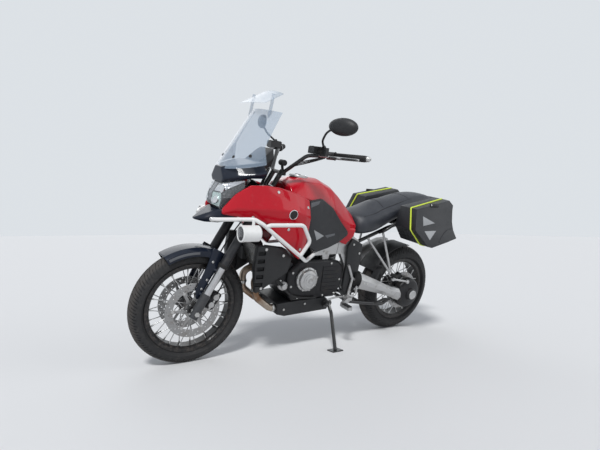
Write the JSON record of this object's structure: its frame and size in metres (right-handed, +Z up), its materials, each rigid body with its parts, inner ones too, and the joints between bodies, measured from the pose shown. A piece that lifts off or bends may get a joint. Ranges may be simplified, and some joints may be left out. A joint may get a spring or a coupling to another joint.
{
  "type": "adventure motorcycle",
  "caption": "Adventure touring motorcycle leaning on its side stand, with wire wheels, shaft drive, tall screen, crash bars, fog lamps and side panniers whose lids open.",
  "frame": {"origin": "on the ground, under the middle of the bounding box of the motorcycle as it leans on its side stand", "axes": "+X forwards, +Y to the rider's left, towards which it leans, +Z up"},
  "size_m": [2.2574, 1.0624, 1.5336],
  "materials": {
    "red_gloss": "gloss",
    "dark_plastic": "satin",
    "grey_plastic": "matt",
    "silver_cast": "satin cast",
    "dark_cast": "satin",
    "black_metal": "satin",
    "white_coat": "gloss",
    "tyre_rubber": "matt",
    "wheel_black": "satin",
    "disc_steel": "brushed",
    "pipe_steel": "heat tinted",
    "silencer_steel": "satin",
    "seat_cover": "grained",
    "lens": "clear",
    "screen_clear": "clear",
    "lamp_red": "gloss",
    "plate_white": "satin",
    "pannier_shell": "textured"
  },
  "bodies": {
    "chassis": {"frame_spar_left": "silver_cast", "frame_spar_right": "silver_cast", "steering_head": "black_metal", "subframe": "black_metal", "crankcase": "dark_cast", "alternator_cover": "silver_cast", "clutch_cover": "dark_cast", "front_cylinders": "dark_cast", "rear_cylinders": "dark_cast", "radiators": "dark_plastic", "exhaust_headers": "pipe_steel", "belly_pan": "dark_plastic", "silencer": "silencer_steel", "fuel_tank": "red_gloss", "seat": "seat_cover", "side_fairing_left": "red_gloss", "side_fairing_right": "red_gloss", "knee_pads": "grey_plastic", "beak": "dark_plastic", "headlamp": "lens", "front_cowl": "dark_plastic", "dashboard": "dark_plastic", "windscreen": "screen_clear", "screen_spoiler": "screen_clear", "tail_unit": "dark_plastic", "rear_carrier": "grey_plastic", "tail_lamp": "lamp_red", "plate_holder": "dark_plastic", "number_plate": "plate_white", "swingarm": "silver_cast", "final_drive": "dark_cast", "rear_hugger": "dark_plastic", "rear_caliper": "dark_cast", "pivot_covers": "dark_plastic", "foot_pegs": "silver_cast", "crash_bar_left": "white_coat", "crash_bar_right": "white_coat", "fog_lamps": "white_coat", "pannier_left": "pannier_shell", "pannier_right": "pannier_shell", "pannier_racks": "black_metal", "stand_brackets": "black_metal"},
    "steering": {"fork": "black_metal", "handlebar": "black_metal", "mirrors": "dark_plastic", "front_mudguard": "dark_plastic", "front_calipers": "dark_cast"},
    "front_wheel_set": {"front_tyre": "tyre_rubber", "front_wheel": "wheel_black", "front_discs": "disc_steel"},
    "rear_wheel_set": {"rear_tyre": "tyre_rubber", "rear_wheel": "wheel_black", "rear_disc": "disc_steel"},
    "side_stand_leg": {"side_stand": "black_metal"},
    "centre_stand_frame": {"centre_stand": "black_metal"},
    "lid_left": {"pannier_lid_left": "pannier_shell"},
    "lid_right": {"pannier_lid_right": "pannier_shell"}
  },
  "joints": [
    {"name": "steer", "type": "hinge", "parent": "chassis", "child": "steering", "pos_m": [0.41099, -0.07891, 0.91029], "axis": [-0.4695, 0.1911, 0.862], "range_deg": [-35, 35]},
    {"name": "front_wheel_spin", "type": "hinge", "parent": "steering", "child": "front_wheel_set", "pos_m": [0.79975, -0.20922, 0.3225], "axis": [0, 0.9763, -0.2164], "continuous": true},
    {"name": "rear_wheel_spin", "type": "hinge", "parent": "chassis", "child": "rear_wheel_set", "pos_m": [-0.79525, -0.21085, 0.31517], "axis": [0, 0.9763, -0.2164], "continuous": true},
    {"name": "side_stand_swing", "type": "hinge", "parent": "chassis", "child": "side_stand_leg", "pos_m": [-0.05575, -0.05395, 0.28364], "axis": [-0.0028, 0.9504, 0.3109], "range_deg": [0, 86]},
    {"name": "centre_stand_swing", "type": "hinge", "parent": "chassis", "child": "centre_stand_frame", "pos_m": [-0.25975, -0.21579, 0.29289], "axis": [0, -0.9763, 0.2164], "range_deg": [0, 84], "stiffness_Nm_per_rad": 10, "springref_deg": -57.3},
    {"name": "lid_left_open", "type": "hinge", "parent": "chassis", "child": "lid_left", "pos_m": [-0.63775, 0.22636, 0.64248], "axis": [-0.9806, 0.0424, 0.1915], "range_deg": [0, 75]},
    {"name": "lid_right_open", "type": "hinge", "parent": "chassis", "child": "lid_right", "pos_m": [-0.63775, -0.46876, 0.79658], "axis": [0.9806, -0.0424, -0.1915], "range_deg": [0, 75]}
  ]
}
